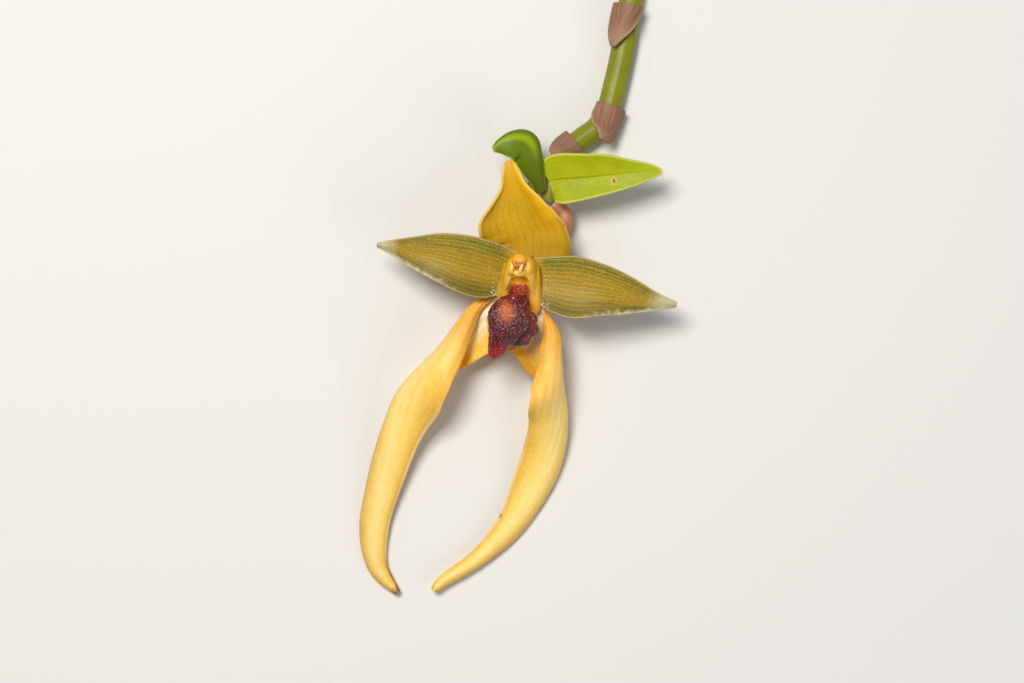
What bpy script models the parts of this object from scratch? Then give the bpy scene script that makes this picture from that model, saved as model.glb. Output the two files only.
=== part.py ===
"""Orchid flower, picked with the end of its flowering stem and lying face up on a surface.

Frame: +Z up, out of the flower's face; +Y towards the cut end of the stem; +X towards the petal
on the right as seen from above. The origin is on the surface, under the middle of the piece.

Each sepal, petal and bract is a fleshy blade, written as a short table of sections from its base
to its tip. A smooth curve is read through the rows. Lengths are in millimetres, angles in degrees.
"""

import math
from collections import namedtuple

import bmesh
import bpy
from mathutils import Matrix, Vector

MM = 0.001

# Thicknesses, gaps and small parts, in millimetres.
SEAT_GAP = 0.3  # between pieces that touch
FACET_SAG = 0.1  # how far the facets of a curled sheath cut inside its curve
SHEET = 0.95  # a blade at its midrib
SHEET_EDGE = 0.65  # a blade at its margin
DRY_SHEET = 0.7
CAP_RADIUS = 1.38
CAP_WALL = 0.6
POLLEN_RADIUS = 0.46
POLLEN_HEIGHT = 0.3  # from the middle of the pollen to its top
WART_HEIGHT = 0.09  # relief on the lip
WART_ROWS = 9
WARTS_ROUND = 7

TUBE_SIDES = 14
UP = Vector((0, 0, 1))

# A section of a blade: its place on the midrib, the widths of its two halves, how far it is turned
# about the midrib (the right half goes up), and how far each half has bent up at its margin.
# Left and right are for someone at the base who looks along the midrib from above, and the widths
# are measured along the curved sheet.
Section = namedtuple("Section", "x y z left right turn curl_left curl_right")

# How a blade is made: facets along it, facets across each half, how much of the bend is kept for
# the margin (1 is even), and the angle at which both halves rise from the midrib.
Make = namedtuple("Make", "rows steps roll fold")
PETAL = Make(18, 4, 1.0, 3)
HOOD = Make(22, 6, 1.8, 0)
GUTTER = Make(28, 7, 1.0, 0)
GROOVED = Make(18, 4, 1.0, 12)
HOOKED = Make(20, 5, 1.8, 0)
FOOT = Make(12, 5, 1.0, 0)
FLAP = Make(9, 3, 1.0, 0)

DORSAL_SEPAL = [
    Section(1.5, 6.3, 9.4, 5.0, 7.8, 0, 3, 6),
    Section(1.6, 8.0, 9.6, 6.6, 8.5, 0, 5, 12),
    Section(1.5, 9.8, 10.1, 7.6, 7.9, 0, 8, 20),
    Section(0.9, 11.8, 10.9, 7.9, 7.0, 0, 14, 36),
    Section(0.1, 14.3, 12.0, 7.8, 6.1, 0, 42, 56),
    Section(-0.4, 16.7, 12.9, 5.5, 5.0, 0, 68, 76),
    Section(-0.8, 19.3, 13.6, 2.6, 2.9, 0, 78, 90),
    Section(-1.0, 21.4, 14.0, 1.8, 1.7, 0, 60, 80),
    Section(-1.2, 22.8, 14.1, 1.3, 1.0, 0, 30, 40),
    Section(-1.3, 23.4, 14.1, 0.7, 0.6, 0, 10, 10),
]
LEFT_PETAL = [
    Section(-3.2, 3.3, 11.6, 4.4, 4.7, 0, 15, 15),
    Section(-5.6, 3.9, 12.0, 5.5, 5.1, 0, 20, 20),
    Section(-9.6, 5.0, 12.8, 5.6, 5.2, 0, 22, 22),
    Section(-14.2, 6.2, 13.2, 4.5, 4.3, 3, 20, 15),
    Section(-18.8, 7.1, 12.8, 3.0, 2.8, 8, 12, 5),
    Section(-22.6, 7.9, 12.0, 1.5, 1.4, 12, 5, 0),
    Section(-25.8, 8.4, 11.0, 0.35, 0.35, 14, 0, 0),
]
RIGHT_PETAL = [
    Section(4.9, 1.4, 11.6, 4.6, 4.2, 0, 15, 15),
    Section(6.9, 1.2, 12.0, 5.0, 5.2, 0, 20, 20),
    Section(11.0, 0.6, 12.8, 5.6, 6.0, 0, 22, 22),
    Section(15.6, 0.0, 13.2, 4.7, 4.8, -3, 15, 20),
    Section(20.2, -0.9, 12.8, 3.4, 3.6, -8, 5, 12),
    Section(25.0, -2.0, 11.8, 1.8, 1.8, -12, 0, 5),
    Section(29.5, -2.7, 10.8, 0.4, 0.4, -14, 0, 0),
]

# The lateral sepals are gutters. Each is turned half round on its way, so that the inside shows
# beside the lip and the outside shows from there to the tip.
LEFT_LATERAL_SEPAL = [
    Section(-2.6, -2.7, 9.15, 4.6, 1.6, 0, 5, 40),
    Section(-6.4, -2.6, 8.8, 7.6, 3.0, 0, 12, 215),
    Section(-10.4, -6.5, 8.9, 7.5, 5.6, 38, 62, 205),
    Section(-13.4, -9.9, 9.0, 7.1, 7.0, 72, 100, 150),
    Section(-17.1, -13.7, 8.6, 6.2, 8.3, 105, 90, 80),
    Section(-20.9, -19.2, 7.6, 5.2, 7.9, 135, 80, 50),
    Section(-23.1, -26.4, 6.3, 4.6, 5.4, 160, 85, 45),
    Section(-24.9, -35.3, 4.4, 4.8, 3.6, 175, 85, 40),
    Section(-26.6, -44.4, 2.8, 4.1, 2.5, 180, 80, 40),
    Section(-26.4, -51.6, 1.9, 2.3, 2.0, 180, 70, 40),
    Section(-22.4, -56.8, 1.8, 0.35, 0.35, 180, 30, 30),
]
RIGHT_LATERAL_SEPAL = [
    Section(3.0, -3.8, 9.1, 1.6, 3.8, 0, 20, 5),
    Section(5.3, -5.7, 8.8, 3.2, 8.4, -8, 195, 12),
    Section(7.0, -8.9, 8.8, 5.8, 8.5, -32, 210, 62),
    Section(7.7, -12.8, 8.9, 6.3, 7.9, -60, 185, 100),
    Section(8.4, -19.1, 7.9, 8.6, 6.5, -105, 60, 75),
    Section(8.0, -25.1, 6.3, 6.1, 5.4, -135, 50, 80),
    Section(6.3, -31.7, 4.25, 5.4, 4.6, -160, 45, 85),
    Section(3.0, -38.1, 3.1, 4.6, 4.1, -175, 40, 85),
    Section(-1.6, -44.4, 2.7, 2.4, 3.3, -180, 40, 75),
    Section(-8.6, -50.7, 2.6, 1.8, 1.8, -180, 40, 60),
    Section(-15.2, -55.7, 2.4, 0.35, 0.35, -180, 30, 30),
]
RIGHT_BRACT = [
    Section(6.1, 20.3, 7.4, 3.5, 3.1, 0, 10, 10),
    Section(7.0, 20.6, 7.6, 4.5, 4.2, 0, 15, 15),
    Section(9.0, 20.8, 8.2, 4.8, 4.8, 0, 22, 18),
    Section(12.6, 21.0, 8.9, 4.6, 4.3, 0, 25, 15),
    Section(16.8, 21.4, 9.7, 4.1, 3.6, 0, 25, 12),
    Section(21.4, 21.8, 10.1, 2.4, 2.5, 0, 25, 10),
    Section(24.9, 22.0, 10.2, 1.3, 1.3, 0, 15, 10),
    Section(27.0, 22.0, 10.3, 0.35, 0.35, 0, 0, 0),
]
LEFT_BRACT = [
    Section(4.4, 18.5, 7.2, 0.9, 0.9, 0, -10, -20),
    Section(4.0, 20.3, 8.5, 1.3, 1.1, 0, -15, -30),
    Section(3.3, 22.3, 9.9, 2.1, 1.7, 0, -20, -50),
    Section(2.5, 24.4, 11.1, 2.5, 2.5, 0, -20, -70),
    Section(1.3, 26.4, 12.2, 3.0, 3.7, 0, -20, -75),
    Section(-0.9, 27.0, 12.9, 2.9, 2.8, 0, -15, -75),
    Section(-2.9, 26.6, 12.8, 1.7, 1.4, 0, -10, -60),
    Section(-4.4, 25.9, 12.4, 0.35, 0.35, 0, 0, -10),
]

# The column's foot is a channel that carries the lip, and its sides rise to the column's body.
COLUMN_FOOT = [
    Section(0.8, 5.6, 11.6, 4.4, 4.4, 0, 85, 85),
    Section(0.7, 3.2, 10.9, 5.0, 5.0, 0, 85, 85),
    Section(0.6, 0.8, 10.6, 4.6, 4.8, 0, 72, 72),
    Section(0.3, -2.0, 10.4, 3.9, 4.4, 0, 58, 58),
    Section(-0.4, -5.2, 10.2, 2.4, 2.4, 0, 35, 35),
]
LIP_FLANGE = [
    Section(1.2, -4.3, 15.9, 1.2, 1.6, 0, -20, 0),
    Section(1.5, -5.8, 16.2, 2.2, 1.8, 0, -50, 0),
    Section(1.3, -7.2, 16.0, 2.4, 1.8, 0, -60, 0),
    Section(0.3, -8.7, 15.5, 1.9, 1.6, 0, -60, 0),
    Section(-0.9, -9.8, 14.9, 0.8, 1.2, 0, -40, 0),
]

# Round pieces: x, y, z and radius.
STEM = [
    (21.8, 57.0, 2.3, 2.3),
    (21.4, 54.0, 2.3, 2.3),
    (20.9, 51.0, 2.3, 2.3),
    (19.8, 44.5, 2.3, 2.3),
    (18.3, 38.0, 2.3, 2.3),
    (17.1, 33.8, 2.4, 2.3),
    (15.1, 30.6, 2.6, 2.3),
    (12.2, 28.5, 2.8, 2.2),
    (9.2, 26.0, 3.2, 2.1),
    (7.3, 22.6, 3.9, 2.0),
    (6.3, 19.4, 4.4, 1.82),
    (5.6, 17.0, 4.7, 1.3),
]
OVARY_AND_PEDICEL = [
    (1.0, 3.3, 9.6, 1.9),
    (1.2, 4.1, 8.35, 1.9),
    (2.6, 6.0, 6.3, 1.85),
    (5.4, 8.7, 4.6, 1.8),
    (8.0, 11.4, 3.9, 1.75),
    (8.9, 13.6, 3.9, 1.65),
    (8.4, 15.1, 4.0, 1.4),
    (6.9, 16.3, 4.4, 1.2),
]
COLUMN_BODY = [
    (0.8, 4.1, 10.9, 2.2),
    (0.8, 4.1, 12.0, 2.8),
    (0.8, 4.1, 13.6, 2.95),
    (0.75, 4.1, 15.0, 2.85),
    (0.7, 4.1, 16.0, 2.4),
    (0.6, 4.1, 16.5, 1.7),
]
COLUMN_TEETH = [
    [(-1.2, 3.0, 16.0, 0.5), (-1.1, 3.2, 17.2, 0.36), (-0.95, 4.1, 18.2, 0.36), (-0.9, 4.9, 18.5, 0.2)],
    [(0.6, 2.9, 16.2, 0.45), (0.55, 3.2, 17.6, 0.32), (0.75, 4.0, 18.6, 0.34), (1.1, 4.7, 18.8, 0.2)],
]
STIGMA = [(0.6, 0.9, 16.9, 1.5), (0.6, 1.5, 14.9, 1.7), (0.6, 1.7, 13.4, 1.2)]
CAP_BASE = Vector((0.4, 5.3, 17.15))
END_BUD = [
    (4.0, 18.9, 5.2, 0.45),
    (3.4, 19.4, 5.4, 0.8),
    (2.7, 19.9, 5.7, 0.75),
    (2.1, 20.3, 6.0, 0.3),
]

# The lip: x, y, z, half width and half thickness, from its hinge to its tip.
LIP = [
    (-0.4, -4.5, 11.6, 0.9, 0.6),
    (-0.4, -3.2, 12.3, 1.1, 0.6),
    (-0.4, -1.9, 13.8, 1.6, 0.7),
    (-0.5, -1.7, 15.6, 2.3, 0.8),
    (-0.9, -2.7, 17.0, 2.9, 1.1),
    (-1.35, -4.5, 17.5, 3.75, 1.4),
    (-1.9, -6.4, 17.4, 3.6, 1.6),
    (-2.5, -8.0, 17.0, 2.8, 1.6),
    (-3.15, -9.5, 16.4, 2.1, 1.4),
    (-3.8, -11.0, 15.5, 1.5, 1.2),
    (-4.1, -12.0, 14.9, 1.05, 0.95),
    (-4.2, -12.5, 14.6, 0.5, 0.5),
]
LIP_ROWS = 28
LIP_SIDES = 22

# Dry sheaths clasp the stem at its joints: where each begins and ends as a share of the stem's
# table, its lean to the left of straight up, its wrap on each side and how far its tip stands off.
Sheath = namedtuple("Sheath", "name begin end lean wrap flare")
SHEATHS = [
    Sheath("outer_sheath", 0.10, 0.26, 32, 88, 1.0),
    Sheath("middle_sheath", 0.42, 0.59, -30, 88, 1.8),
    Sheath("inner_sheath", 0.66, 0.78, 30, 80, 0.8),
]


def smooth(a, b, c, d, share):
    """Catmull-Rom value between b and c."""
    bend = 2 * a - 5 * b + 4 * c - d
    cubic = 3 * b - a - 3 * c + d
    return 0.5 * (2 * b + (c - a) * share + bend * share**2 + cubic * share**3)


def row_at(table, share):
    """The table's row at a share of its length, on a smooth curve through its rows."""
    last = len(table) - 1
    i = min(int(share * last), last - 1)
    near = [table[max(0, min(last, i + k))] for k in (-1, 0, 1, 2)]
    return [smooth(*values, share * last - i) for values in zip(*near)]


def heading_at(table, share):
    """Direction in which the midrib or centre line runs."""
    step = 0.01
    ahead = Vector(row_at(table, min(1, share + step))[:3])
    behind = Vector(row_at(table, max(0, share - step))[:3])
    return (ahead - behind).normalized()


def half_section(width, curl, make):
    """(across, up) of points from the midrib to one margin."""
    points = [(0.0, 0.0)]
    for i in range(make.steps):
        bent = ((i + 0.5) / make.steps) ** make.roll
        slope = math.radians(make.fold + curl * bent)
        across, rise = points[-1]
        across += width / make.steps * math.cos(slope)
        rise += width / make.steps * math.sin(slope)
        points.append((across, rise))
    return points


def middle_surface(table, make, up):
    """For each row of facets, points from the blade's left margin to its right one."""
    grid = []
    for r in range(make.rows + 1):
        share = r / make.rows
        row = Section(*row_at(table, share))
        heading = heading_at(table, share)
        turned = Matrix.Rotation(-math.radians(row.turn), 3, heading)
        side = turned @ heading.cross(up).normalized()
        normal = side.cross(heading)
        place = Vector((row.x, row.y, row.z))
        left = half_section(row.left, row.curl_left, make)
        right = half_section(row.right, row.curl_right, make)
        across_up = [(-a, u) for a, u in reversed(left[1:])] + right
        grid.append([place + side * a + normal * u for a, u in across_up])
    return grid


def blade(name, table, make, material, up=UP, middle=SHEET, edge=SHEET_EDGE):
    """One closed sheet, thickest at its midrib, with rounded margins."""
    grid = middle_surface(table, make, up)
    last_row, last_column = make.rows, 2 * make.steps
    rings = []
    for r, row in enumerate(grid):
        above, below = [], []
        for c, point in enumerate(row):
            along = grid[min(last_row, r + 1)][c] - grid[max(0, r - 1)][c]
            across = row[min(last_column, c + 1)] - row[max(0, c - 1)]
            from_midrib = abs(c - make.steps) / make.steps
            half = (middle + (edge - middle) * from_midrib**2) / 2
            lift = across.cross(along).normalized() * half
            above.append(point + lift)
            below.append(point - lift)
        right_rim = row[-1] + (row[-1] - row[-2]).normalized() * edge / 2
        left_rim = row[0] + (row[0] - row[1]).normalized() * edge / 2
        rings.append(above + [right_rim] + below[::-1] + [left_rim])
    faces = ring_faces(rings, flip_after=last_column + 1)
    faces += end_faces(last_column, 0) + end_faces(last_column, last_row)
    return solid(name, [p for ring in rings for p in ring], faces, material)


def ring_faces(rings, flip_after):
    """Triangles between rings. After a blade's upper face the split flips, to match below."""
    count = len(rings[0])
    faces = []
    for first in range(0, (len(rings) - 1) * count, count):
        for k in range(count):
            a, b = first + k, first + (k + 1) % count
            d, c = a + count, b + count
            faces += [(a, b, c), (a, c, d)] if k < flip_after else [(a, b, d), (b, c, d)]
    return faces


def end_faces(last_column, ring):
    """Faces that close a blade at one of its rings, between its upper and lower points."""
    count = 2 * last_column + 4
    first = ring * count
    below = [first + count - 2 - c for c in range(last_column + 1)]
    faces = [(first + c, first + c + 1, below[c + 1], below[c]) for c in range(last_column)]
    faces.append((first + last_column, first + last_column + 1, below[last_column]))
    faces.append((first, below[0], first + count - 1))
    return faces


def lofted(name, rings, material):
    """One closed body through rings of equal count, with a fan on each end."""
    count = len(rings[0])
    points = [p for ring in rings for p in ring]
    faces = ring_faces(rings, flip_after=count)
    for ring, first in ((rings[0], 0), (rings[-1], (len(rings) - 1) * count)):
        centre = len(points)
        points.append(sum(ring, Vector()) / count)
        faces += [(first + k, first + (k + 1) % count, centre) for k in range(count)]
    return solid(name, points, faces, material)


def ring_about(centre, heading, side, wide, deep, sides, relief=0.0):
    """Points of an oval about a centre line. The relief pushes them in and out by turns."""
    normal = side.cross(heading)
    ring = []
    for k in range(sides):
        angle = 2 * math.pi * k / sides
        out = side * math.cos(angle) * wide + normal * math.sin(angle) * deep
        push = relief * math.sin(WARTS_ROUND * angle)
        ring.append(centre + out + out.normalized() * push)
    return ring


def tube(name, table, rows, material, up=UP):
    """A round body along a table of (x, y, z, radius)."""
    rings = []
    for r in range(rows + 1):
        x, y, z, radius = row_at(table, r / rows)
        heading = heading_at(table, r / rows)
        side = heading.cross(up).normalized()
        rings.append(ring_about(Vector((x, y, z)), heading, side, radius, radius, TUBE_SIDES))
    return lofted(name, rings, material)


def solid(name, points, faces, material):
    """A mesh object in metres, with its faces pointing out."""
    mesh = bpy.data.meshes.new(name)
    mesh.from_pydata([p * MM for p in points], [], faces)
    shape = bmesh.new()
    shape.from_mesh(mesh)
    bmesh.ops.triangulate(shape, faces=shape.faces)
    bmesh.ops.recalc_face_normals(shape, faces=shape.faces)
    shape.to_mesh(mesh)
    shape.free()
    mesh.shade_smooth()
    mesh.materials.append(material)
    made = bpy.data.objects.new(name, mesh)
    bpy.context.scene.collection.objects.link(made)
    return made


def material(name, colour, roughness=0.5):
    made = bpy.data.materials.new(name)
    made.use_nodes = True
    shader = made.node_tree.nodes["Principled BSDF"]
    shader.inputs["Base Color"].default_value = (*colour, 1)
    shader.inputs["Roughness"].default_value = roughness
    shader.inputs["Metallic"].default_value = 0
    return made


def combine(target, tool, operation):
    """Adds the tool to the target or cuts it away, and removes the tool."""
    step = target.modifiers.new(operation, "BOOLEAN")
    step.operation = operation
    step.solver = "EXACT"
    step.object = tool
    graph = bpy.context.evaluated_depsgraph_get()
    result = bpy.data.meshes.new_from_object(target.evaluated_get(graph))
    target.modifiers.clear()
    target.data = result
    bpy.data.objects.remove(tool)


def make_flower_blades():
    yellow = material("sepal_yellow", (0.85, 0.52, 0.10))
    golden = material("hood_golden", (0.62, 0.36, 0.02))
    olive = material("petal_olive", (0.36, 0.26, 0.06))
    blade("dorsal_sepal", DORSAL_SEPAL, HOOD, golden)
    blade("left_petal", LEFT_PETAL, PETAL, olive)
    blade("right_petal", RIGHT_PETAL, PETAL, olive)
    blade("left_lateral_sepal", LEFT_LATERAL_SEPAL, GUTTER, yellow)
    blade("right_lateral_sepal", RIGHT_LATERAL_SEPAL, GUTTER, yellow)


def make_column():
    """The body that carries the anther, its foot, its two teeth and the stigma's hollow."""
    amber = material("column_amber", (0.66, 0.42, 0.08))
    across = Vector((0, -1, 0))
    column = tube("column", COLUMN_BODY, 10, amber, across)
    combine(column, blade("foot", COLUMN_FOOT, FOOT, amber), "UNION")
    for table in COLUMN_TEETH:
        combine(column, tube("tooth", table, 6, amber, across), "UNION")
    combine(column, tube("hollow", STIGMA, 6, amber, across), "DIFFERENCE")


def make_anther():
    """A cap over the end of the column, with the pollen masses inside."""
    orange = material("anther_orange", (0.72, 0.30, 0.04))
    wax = material("pollen_wax", (0.80, 0.62, 0.10))
    inner = CAP_RADIUS - CAP_WALL
    profile = [(angle, inner) for angle in (80, 60, 40, 20, 0)]
    profile += [(angle, CAP_RADIUS) for angle in (0, 20, 40, 60, 80)]
    forward, side = Vector((0, -0.2, 1)).normalized(), Vector((1, 0, 0))
    rings = []
    for angle, radius in profile:
        rise = radius * math.sin(math.radians(angle))
        spread = radius * math.cos(math.radians(angle))
        centre = CAP_BASE + forward * rise
        rings.append(ring_about(centre, forward, side, spread, spread, TUBE_SIDES))
    lofted("anther_cap", rings, orange)
    sizes = [(-0.9, 0.44), (-0.5, 0.87), (0.0, 1.0), (0.5, 0.87), (0.9, 0.44)]
    rings = []
    for rise, spread in sizes:
        centre = CAP_BASE + forward * rise * POLLEN_HEIGHT
        wide = spread * POLLEN_RADIUS
        rings.append(ring_about(centre, forward, side, wide, wide, TUBE_SIDES))
    lofted("pollinia", rings, wax)


def make_lip():
    """A thick warty tongue, with a flange folded down on its right."""
    maroon = material("lip_maroon", (0.10, 0.015, 0.02))
    across = Vector((-1, 0, 0))
    rings = []
    for r in range(LIP_ROWS + 1):
        share = r / LIP_ROWS
        x, y, z, wide, deep = row_at(LIP, share)
        heading = heading_at(LIP, share)
        side = (across - heading * across.dot(heading)).normalized()
        relief = WART_HEIGHT * math.sin(2 * math.pi * WART_ROWS * share) * min(1, deep)
        centre = Vector((x, y, z))
        rings.append(ring_about(centre, heading, side, wide, deep, LIP_SIDES, relief))
    lip = lofted("lip", rings, maroon)
    combine(lip, blade("flange", LIP_FLANGE, FLAP, maroon), "UNION")


def make_stem():
    green = material("stem_green", (0.24, 0.25, 0.02))
    salmon = material("ovary_salmon", (0.52, 0.24, 0.12))
    leaf_green = material("bract_green", (0.30, 0.36, 0.01))
    tube("stem", STEM, 30, green)
    tube("ovary_and_pedicel", OVARY_AND_PEDICEL, 18, salmon, up=Vector((1, -1, 0)))
    tube("end_bud", END_BUD, 6, leaf_green)
    blade("right_bract", RIGHT_BRACT, GROOVED, leaf_green)
    blade("left_bract", LEFT_BRACT, HOOKED, leaf_green)


def make_sheaths():
    dry = material("sheath_dry", (0.35, 0.20, 0.11))
    for sheath in SHEATHS:
        heading = heading_at(STEM, (sheath.begin + sheath.end) / 2)
        lean = math.radians(sheath.lean)
        out = UP * math.cos(lean) + heading.cross(UP).normalized() * math.sin(lean)
        table = []
        for t in (0, 0.25, 0.5, 0.75, 1):
            x, y, z, radius = row_at(STEM, sheath.begin + (sheath.end - sheath.begin) * t)
            away = radius + SEAT_GAP + FACET_SAG + DRY_SHEET / 2 + sheath.flare * t**2
            wrap = sheath.wrap * (1 - 0.75 * t**2)
            width = away * math.radians(wrap)
            place = Vector((x, y, z)) + out * away
            table.append(Section(*place, width, width, 0, wrap, wrap))
        blade(sheath.name, table, FLAP, dry, up=-out, middle=DRY_SHEET)


def main():
    for old in list(bpy.data.objects):
        bpy.data.objects.remove(old)
    make_flower_blades()
    make_column()
    make_anther()
    make_lip()
    make_stem()
    make_sheaths()


main()
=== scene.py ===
"""Looks of a picked orchid flower that lies face up on a pale surface.

Each sepal, petal, bract and sheath is a finely curved sheet, drawn through a table of sections as
its CAD solid is, so that it keeps the solid's form and place. Tables and sizes are in millimetres,
angles in degrees, and meshes in metres. Left and right are as seen from above, stem end at the top.
"""
import math

import bmesh
import bpy
import numpy as np
from mathutils import Matrix, Vector, noise


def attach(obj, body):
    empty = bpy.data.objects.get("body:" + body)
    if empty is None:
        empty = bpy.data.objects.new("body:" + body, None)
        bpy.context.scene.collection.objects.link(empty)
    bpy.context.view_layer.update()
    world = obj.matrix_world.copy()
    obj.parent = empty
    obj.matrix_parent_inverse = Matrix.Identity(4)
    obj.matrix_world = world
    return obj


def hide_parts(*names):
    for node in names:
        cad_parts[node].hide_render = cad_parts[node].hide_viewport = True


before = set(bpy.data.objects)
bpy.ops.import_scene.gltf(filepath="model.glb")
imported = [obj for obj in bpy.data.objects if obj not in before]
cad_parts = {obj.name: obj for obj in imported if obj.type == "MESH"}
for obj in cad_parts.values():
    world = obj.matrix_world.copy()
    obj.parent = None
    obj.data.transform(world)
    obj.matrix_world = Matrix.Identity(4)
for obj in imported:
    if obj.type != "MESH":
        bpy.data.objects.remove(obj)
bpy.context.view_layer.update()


# The surface is a plain pale board. A wide soft lamp hangs up and to the left, where the highlights
# of the sepals point, and a weaker one on the right opens the shadows. The camera looks straight
# down from where the photograph was taken.
MM = 0.001
CAMERA_PLACE = (-0.9, -9.5, 564.3)
LENS = 105
BOARD_COLOUR = (0.74, 0.73, 0.70, 1)
BOARD_SIDE = 3000
ROOM_TINT = (0.95, 0.97, 1.0, 1)
ROOM_STRENGTH = 0.24
LAMPS = [
    # name, place, side, power, colour
    ("key_lamp", (-150, 190, 640), 220, 4.4, (1.0, 0.97, 0.93)),
    ("fill_lamp", (420, -380, 420), 420, 1.0, (0.96, 0.98, 1.0)),
]
bpy.context.scene.view_settings.view_transform = "Standard"


def placed(name, data):
    """A new object in the scene."""
    thing = bpy.data.objects.new(name, data)
    bpy.context.scene.collection.objects.link(thing)
    return thing


camera_data = bpy.data.cameras.new("camera")
camera_data.lens = LENS
camera_data.clip_start = 0.01
camera = placed("camera", camera_data)
camera.location = Vector(CAMERA_PLACE) * MM
bpy.context.scene.camera = camera

for lamp_name, place, side, power, tint in LAMPS:
    lamp_data = bpy.data.lights.new(lamp_name, "AREA")
    lamp_data.size = side * MM
    lamp_data.energy = power
    lamp_data.color = tint
    lamp = placed(lamp_name, lamp_data)
    lamp.location = Vector(place) * MM
    lamp.rotation_euler = Vector(place).to_track_quat("Z", "Y").to_euler()

world = bpy.data.worlds.new("studio")
world.use_nodes = True
world.node_tree.nodes["Background"].inputs["Color"].default_value = ROOM_TINT
world.node_tree.nodes["Background"].inputs["Strength"].default_value = ROOM_STRENGTH
bpy.context.scene.world = world

half_board = BOARD_SIDE * MM / 2
board_corners = [(x * half_board, y * half_board, 0) for x, y in ((-1, -1), (1, -1), (1, 1), (-1, 1))]
board_mesh = bpy.data.meshes.new("board")
board_mesh.from_pydata(board_corners, [], [(0, 1, 2, 3)])
board_paint = bpy.data.materials.new("board_paint")
board_paint.use_nodes = True
board_paint.node_tree.nodes["Principled BSDF"].inputs["Base Color"].default_value = BOARD_COLOUR
board_paint.node_tree.nodes["Principled BSDF"].inputs["Roughness"].default_value = 0.85
board_mesh.materials.append(board_paint)
placed("board", board_mesh)


# The dorsal sepal is a fleshy golden hood over the column. Its margins roll up, and the right one
# folds over into a band that is painted brighter, as a painted highlight. Fine veins run up from
# the base among pale grains, and a few red specks lie near the base.
UP = (0, 0, 1)
MARGIN_ARC = (60, 30, 0, -30, -60)
DORSAL_SEPAL = [
    # x, y, z, left width, right width, turn, left curl, right curl
    (1.5, 6.3, 9.4, 5.0, 7.8, 0, 3, 6),
    (1.6, 8.0, 9.6, 6.6, 8.5, 0, 5, 12),
    (1.5, 9.8, 10.1, 7.6, 7.9, 0, 8, 20),
    (0.9, 11.8, 10.9, 7.9, 7.0, 0, 14, 36),
    (0.1, 14.3, 12.0, 7.8, 6.1, 0, 42, 56),
    (-0.4, 16.7, 12.9, 5.5, 5.0, 0, 68, 76),
    (-0.8, 19.3, 13.6, 2.6, 2.9, 0, 78, 90),
    (-1.0, 21.4, 14.0, 1.8, 1.7, 0, 60, 80),
    (-1.2, 22.8, 14.1, 1.25, 1.0, 0, 30, 40),
    (-1.3, 23.4, 14.1, 0.85, 0.7, 0, 10, 10),
    (-1.3, 23.7, 14.05, 0.25, 0.25, 0, 0, 0),
]


def read_curve(rows, shares):
    """Values of a smooth curve through the rows, at shares of its length."""
    rows = np.array(rows, float)
    last = len(rows) - 1
    spot = np.clip(shares, 0, 1) * last
    i = np.minimum(spot.astype(int), last - 1)
    t = (spot - i)[:, None]
    a, b, c, d = (rows[np.clip(i + k, 0, last)] for k in (-1, 0, 1, 2))
    bend = 2 * a - 5 * b + 4 * c - d
    cubic = 3 * b - a - 3 * c + d
    return 0.5 * (2 * b + (c - a) * t + bend * t**2 + cubic * t**3)


def unit(vectors):
    return vectors / np.linalg.norm(vectors, axis=-1, keepdims=True)


def headings(rows, shares):
    step = 0.01
    return unit(read_curve(rows, shares + step)[:, :3] - read_curve(rows, shares - step)[:, :3])


def half_profile(width, curl, fold, roll, rim, count):
    """(out, up) of points from the midrib to one margin, for each row of a sheet."""
    spot = (np.arange(count) + 0.5) / count
    slope = np.radians(fold + curl[:, None] * spot**roll + rim * np.clip(spot * 5 - 4, 0, 1))
    step = width[:, None] / count
    return np.cumsum(np.cos(slope) * step, axis=1), np.cumsum(np.sin(slope) * step, axis=1)


def middle_of_sheet(rows, along, count, fold, roll, rim, up):
    """Points of a sheet's middle: one row for each share along it, from left margin to right."""
    table = read_curve(rows, along)
    heading = headings(rows, along)
    side = unit(np.cross(heading, up))
    normal = np.cross(side, heading)
    turn = np.radians(table[:, 5:6])
    side, normal = side * np.cos(turn) + normal * np.sin(turn), normal * np.cos(turn) - side * np.sin(turn)
    left_out, left_up = half_profile(table[:, 3], table[:, 6], fold, roll, rim[0], count)
    right_out, right_up = half_profile(table[:, 4], table[:, 7], fold, roll, rim[1], count)
    midrib = np.zeros((len(along), 1))
    out = np.concatenate([-left_out[:, ::-1], midrib, right_out], axis=1)[..., None]
    rise = np.concatenate([left_up[:, ::-1], midrib, right_up], axis=1)[..., None]
    return table[:, None, :3] + side[:, None] * out + normal[:, None] * rise


def normals_of(grid):
    along = np.gradient(grid, axis=0)
    across = np.gradient(grid, axis=1)
    return unit(np.cross(across, along))


def mesh_piece(name, points, faces, finish, drawn=()):
    """An object from points in millimetres. Each drawn attribute is a number at every point."""
    mesh = bpy.data.meshes.new(name)
    mesh.from_pydata((np.asarray(points) * MM).tolist(), [], faces)
    for key, values in dict(drawn).items():
        mesh.attributes.new(key, "FLOAT", "POINT").data.foreach_set("value", np.ravel(values))
    shape = bmesh.new()
    shape.from_mesh(mesh)
    bmesh.ops.recalc_face_normals(shape, faces=shape.faces)
    shape.to_mesh(mesh)
    shape.free()
    mesh.shade_smooth()
    mesh.materials.append(finish.material)
    return placed(name, mesh)


def ring_quads(rings, count):
    """Faces between rings of points, each ring closed on itself."""
    first = np.arange(rings - 1)[:, None] * count
    here = np.arange(count)[None, :]
    after = (here + 1) % count
    corners = (first + here, first + after, first + count + after, first + count + here)
    return np.stack(corners, axis=-1).reshape(-1, 4).tolist()


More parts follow.
